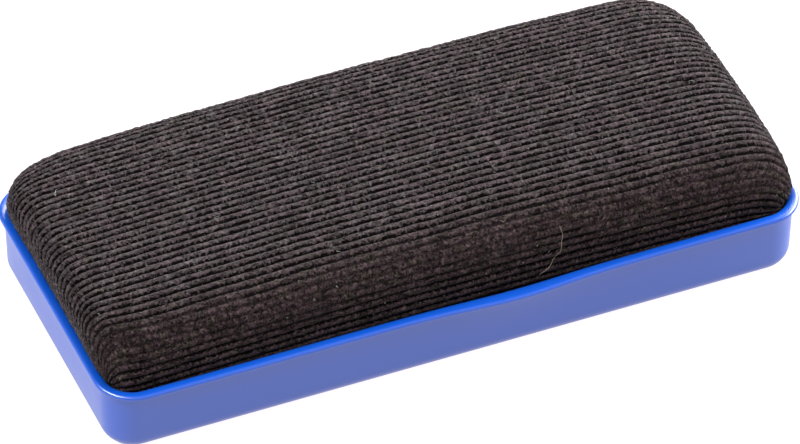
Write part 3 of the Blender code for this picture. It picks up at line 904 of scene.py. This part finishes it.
def make_wadding():
    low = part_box("wadding")[0].z
    outer = [inside_ring(share, WADDING_DEPTH, low) for share in DOME_SHARES]
    inner = [inside_ring(share, FOAM_DEPTH - FOAM_GAP, low) for share in DOME_SHARES]
    bm = bmesh.new()
    add_loft(bm, list(reversed(inner)) + outer)
    wadding = add_object("wadding_layer", bm, [wadding_fibre()], smooth_angle=50.0)
    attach(wadding, "pad")
    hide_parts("wadding")


# ---------------------------------------------------------------- threads, hooks and hairs

def add_thread(bm, path, radius, sides=4, material=0):
    """A thin closed tube along a path."""
    points = [Vector(p) for p in path]
    rings = []
    for k, point in enumerate(points):
        along = points[min(k + 1, len(points) - 1)] - points[max(k - 1, 0)]
        across = along.orthogonal().normalized()
        other = along.normalized().cross(across)
        thin = radius * (0.5 if k in (0, len(points) - 1) else 1.0)
        ring = []
        for j in range(sides):
            a = 2.0 * math.pi * j / sides
            ring.append(bm.verts.new(point + (across * math.cos(a) + other * math.sin(a)) * thin))
        rings.append(ring)
    for lower, upper in zip(rings, rings[1:]):
        turn = min(range(sides), key=lambda t: (lower[0].co - upper[t].co).length)
        for j in range(sides):
            n = (j + 1) % sides
            face = bm.faces.new((lower[j], lower[n], upper[(n + turn) % sides], upper[(j + turn) % sides]))
            face.material_index = material
    bm.faces.new(list(reversed(rings[0]))).material_index = material
    bm.faces.new(rings[-1]).material_index = material


def add_plate(bm, low, high, corner):
    """A flat strip between two corners of its box, with eased edges."""
    middle = (low + high) / 2
    half = (high - low) / 2
    ease = 0.05 * MM
    rings = []
    for inset, z in ((ease, low.z), (0.0, low.z + ease), (0.0, high.z - ease), (ease, high.z)):
        ring = rounded_rectangle(half.x - inset, half.y - inset, corner, z, 5, (2, 2))
        rings.append([(point.x + middle.x, point.y + middle.y, point.z) for point in ring])
    add_loft(bm, rings)


def make_hook_strip(node):
    """Hook tape: a woven base with rows of small nylon hooks. Every other row bends the other way."""
    low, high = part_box(node)
    bm = bmesh.new()
    base = Vector((high.x, high.y, high.z - TAPE_BASE))
    add_plate(bm, low, base, TAPE_CORNER)
    rows = int((high.y - low.y - 2.0 * TAPE_CORNER) / HOOK_PITCH_Y)
    columns = int((high.x - low.x - 2.0 * TAPE_CORNER) / HOOK_PITCH_X)
    rise = high.z - base.z + ROOTED
    for i in range(columns):
        for j in range(rows):
            x = low.x + HOOK_MARGIN + (i + 0.5 * (j % 2)) * HOOK_PITCH_X
            y = low.y + HOOK_MARGIN + j * HOOK_PITCH_Y + RANDOM.normal(0.0, HOOK_SCATTER)
            side = 1 if j % 2 else -1
            path = [(x + side * a, y, base.z + rise * b) for a, b in HOOK_BEND]
            add_thread(bm, path, HOOK_RADIUS)
    strip = add_object(f"{node}_hooks", bm, [woven("hook_tape", (0.006, 0.006, 0.006), (0.03, 0.03, 0.032))])
    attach(strip, "tray")
    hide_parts(node)


def make_loop_strip(node):
    """Loop tape: a woven backing with a tangle of fine loops hanging from it."""
    low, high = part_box(node)
    bm = bmesh.new()
    base = Vector((low.x, low.y, low.z + TAPE_BASE))
    add_plate(bm, base, high, TAPE_CORNER)
    for _ in range(LOOP_COUNT):
        x = RANDOM.uniform(low.x + LOOP_MARGIN, high.x - LOOP_MARGIN)
        y = RANDOM.uniform(low.y + LOOP_MARGIN, high.y - LOOP_MARGIN)
        heading = RANDOM.uniform(0.0, 2.0 * math.pi)
        reach = RANDOM.uniform(0.2, 0.45) * MM
        path = []
        for k in range(6):
            a = math.pi * k / 5
            step = -reach * math.cos(a)
            fall = (base.z + ROOTED) - LOOP_HANG * math.sin(a)
            path.append((x + step * math.cos(heading), y + step * math.sin(heading), fall))
        add_thread(bm, path, LOOP_RADIUS, 3)
    strip = add_object(f"{node}_loops", bm, [woven("loop_tape", (0.012, 0.012, 0.012), (0.06, 0.06, 0.062))])
    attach(strip, "pad")
    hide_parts(node)


def wandering_path(start, heading, length, steps, curl):
    """A path that starts at a point and wanders, as a loose fibre does."""
    points = [start]
    direction = heading.normalized()
    for _ in range(steps):
        direction = (direction + Vector(RANDOM.normal(0.0, curl, 3))).normalized()
        points.append(points[-1] + direction * (length / steps))
    return points


def add_pile_fibres(bm):
    """Single short fibres that stand out of the pile."""
    u = RANDOM.uniform(-LEFT.length * 0.99, RIGHT.length * 0.99, FIBRE_COUNT)
    v = RANDOM.uniform(-FRONT.length * 0.99, BACK.length * 0.99, FIBRE_COUNT)
    place = pad_surface(u, v)
    normal = surface_normal(u, v)
    for k in range(FIBRE_COUNT):
        out = Vector(normal[k])
        start = Vector(place[k]) + out * RANDOM.uniform(-0.1, 0.2) * MM
        lean = out * RANDOM.uniform(0.2, 1.0) + Vector(RANDOM.normal(0.0, 0.7, 3))
        length = RANDOM.uniform(*FIBRE_LENGTH) * MM
        path = wandering_path(start, lean, length, 3, 0.35)
        radius = RANDOM.uniform(*FIBRE_RADIUS) * MM
        if start.z > TRAY_TOP + CAUGHT_ABOVE:
            add_thread(bm, path, radius, 3)


def add_lint(bm):
    """Lint and dust caught on the cloth: each speck is a tangle of three short threads."""
    dust_u = RANDOM.uniform(-0.95 * LEFT.length, 0.95 * RIGHT.length, DUST_COUNT) / MM
    dust_v = RANDOM.uniform(-0.95 * FRONT.length, 0.6 * BACK.length, DUST_COUNT) / MM
    dust = list(zip(dust_u, dust_v, RANDOM.uniform(*DUST_LENGTH, DUST_COUNT)))
    for lint_u, lint_v, length in LINT + dust:
        at_u = np.array([lint_u * MM])
        at_v = np.array([lint_v * MM])
        out = Vector(surface_normal(at_u, at_v)[0])
        start = Vector(pad_surface(at_u, at_v)[0]) + out * LINT_RAISED * MM
        for _ in range(3):
            heading = Vector(RANDOM.normal(0.0, 1.0, 3))
            heading -= out * heading.dot(out) * 0.9
            path = wandering_path(start, heading, length * MM, 7, 0.45)
            path = [p + out * max(0.0, -(p - start).dot(out)) for p in path]
            if start.z > TRAY_TOP + CAUGHT_ABOVE:
                add_thread(bm, path, LINT_RADIUS, 3, material=1)


def add_hair(bm):
    """One stray hair, which touches the cloth in a few places."""
    t = np.linspace(0.0, 1.0, 26)
    u = HAIR_START[0] + (HAIR_END[0] - HAIR_START[0]) * t + HAIR_BEND * np.sin(math.pi * t)
    v = HAIR_START[1] + (HAIR_END[1] - HAIR_START[1]) * t
    raised = (0.3 + 0.5 * np.sin(3.0 * math.pi * t) ** 2) * MM
    hair = pad_surface(u, v) + surface_normal(u, v) * raised[:, None]
    add_thread(bm, hair, HAIR_RADIUS, 5, material=2)


def make_fibres():
    bm = bmesh.new()
    add_pile_fibres(bm)
    add_lint(bm)
    add_hair(bm)
    materials = [
        # The pile fibres range from the pile's own tone up to a lighter tone that is a painted glint
        loose_fibre("pile_fibre_and_glint", (0.035, 0.029, 0.031), (0.13, 0.115, 0.115)),
        loose_fibre("lint", (0.14, 0.15, 0.13), (0.30, 0.30, 0.27)),
        loose_fibre("hair", (0.10, 0.08, 0.06), (0.20, 0.16, 0.12)),
    ]
    fibres = add_object("loose_fibres", bm, materials, smooth_angle=None)
    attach(fibres, "pad")


# ---------------------------------------------------------------- CAD nodes that stay

def paint_nodes():
    """Materials of the CAD nodes whose shape is right."""
    grey = ((0.075, 0.08, 0.09), (0.095, 0.10, 0.11))
    finishes = {
        "yoke_tape": moulded("foam_tape", (0.70, 0.70, 0.66), (0.80, 0.80, 0.76), 0.85, 2200.0, 0.05 * MM),
        "yoke_plate": zinc_steel(),
        "magnet_frame": moulded("white_plastic", (0.66, 0.66, 0.63), (0.74, 0.74, 0.72), 0.42),
        "cover_gasket": gasket_rubber(),
        "inner_cover": moulded("grey_plastic", *grey, 0.45, 1700.0, 0.02 * MM),
        "pad_board": moulded("board_plastic", (0.60, 0.60, 0.56), (0.68, 0.68, 0.64), 0.55, 900.0, 0.02 * MM),
    }
    block = ferrite()
    steel = stainless_steel()
    for index in range(1, 5):
        finishes[f"magnet_{index}"] = block
        finishes[f"cover_screw_{index}"] = steel
    for node, material in finishes.items():
        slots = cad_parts[node].data.materials
        slots.clear()
        slots.append(material)


# ---------------------------------------------------------------- stage

FLOOR_GLOW = 1.0  # the floor is a light table
FLOOR_HALF = 3.0  # metres
FLOOR_GAP = 0.05 * MM  # between the floor and the tray's back
WORLD_GLOW = 0.07

# Soft boxes: place, width, height and power. Each faces the object
LIGHTS = {
    "overhead": ((0.0, 0.0, 1.2), 1.2, 1.2, 2.5),
    "front_softbox": ((0.0, -1.0, 0.8), 1.4, 0.8, 4.0),
    "right_softbox": ((0.9, 0.35, 0.5), 1.8, 0.7, 64.0),
    "left_softbox": ((-0.7, 0.0, 0.9), 0.8, 0.7, 26.0),
}


def make_stage():
    bm = bmesh.new()
    bmesh.ops.create_grid(bm, x_segments=2, y_segments=2, size=FLOOR_HALF)
    s = Shader("floor", roughness=0.9, Emission_Color=(1.0, 0.95, 1.0, 1.0), Emission_Strength=FLOOR_GLOW)
    s.principled.inputs["Specular IOR Level"].default_value = 0.0
    floor = add_object("floor", bm, [s.finish((0.12, 0.12, 0.12))])
    floor.location.z = -FLOOR_GAP

    world = bpy.data.worlds.new("studio")
    SCENE.world = world
    world.use_nodes = True
    background = world.node_tree.nodes["Background"]
    background.inputs["Color"].default_value = (0.97, 0.98, 1.0, 1.0)
    background.inputs["Strength"].default_value = WORLD_GLOW

    for name, (place, wide, high, power) in LIGHTS.items():
        light = bpy.data.lights.new(name, "AREA")
        light.shape = "RECTANGLE"
        light.size = wide
        light.size_y = high
        light.energy = power
        lamp = bpy.data.objects.new(name, light)
        lamp.location = place
        lamp.rotation_euler = (-Vector(place)).to_track_quat("-Z", "Y").to_euler()
        SCENE.collection.objects.link(lamp)
    SCENE.view_settings.view_transform = "Standard"


def make_camera():
    azimuth = math.radians(VIEW_AZIMUTH)
    elevation = math.radians(VIEW_ELEVATION)
    roll = math.radians(VIEW_ROLL)
    back = Vector((
        math.sin(azimuth) * math.cos(elevation),
        -math.cos(azimuth) * math.cos(elevation),
        math.sin(elevation),
    ))
    level = (-back).cross(Vector((0.0, 0.0, 1.0))).normalized()
    upright = level.cross(-back)
    right = level * math.cos(roll) + upright * math.sin(roll)
    up = upright * math.cos(roll) - level * math.sin(roll)
    data = bpy.data.cameras.new("camera")
    data.lens = LENS
    data.clip_start = 0.01
    data.clip_end = 20.0
    camera = bpy.data.objects.new("camera", data)
    place = back * VIEW_DISTANCE + right * VIEW_RIGHT + up * VIEW_UP
    camera.matrix_world = Matrix.Translation(place) @ Matrix((right, up, back)).transposed().to_4x4()
    SCENE.collection.objects.link(camera)
    SCENE.camera = camera


make_camera()
make_stage()
make_tray()
paint_nodes()
make_cover()
make_wadding()
make_foam()
for side in ("left", "right"):
    make_hook_strip(f"hook_strip_{side}")
    make_loop_strip(f"loop_strip_{side}")
make_fibres()
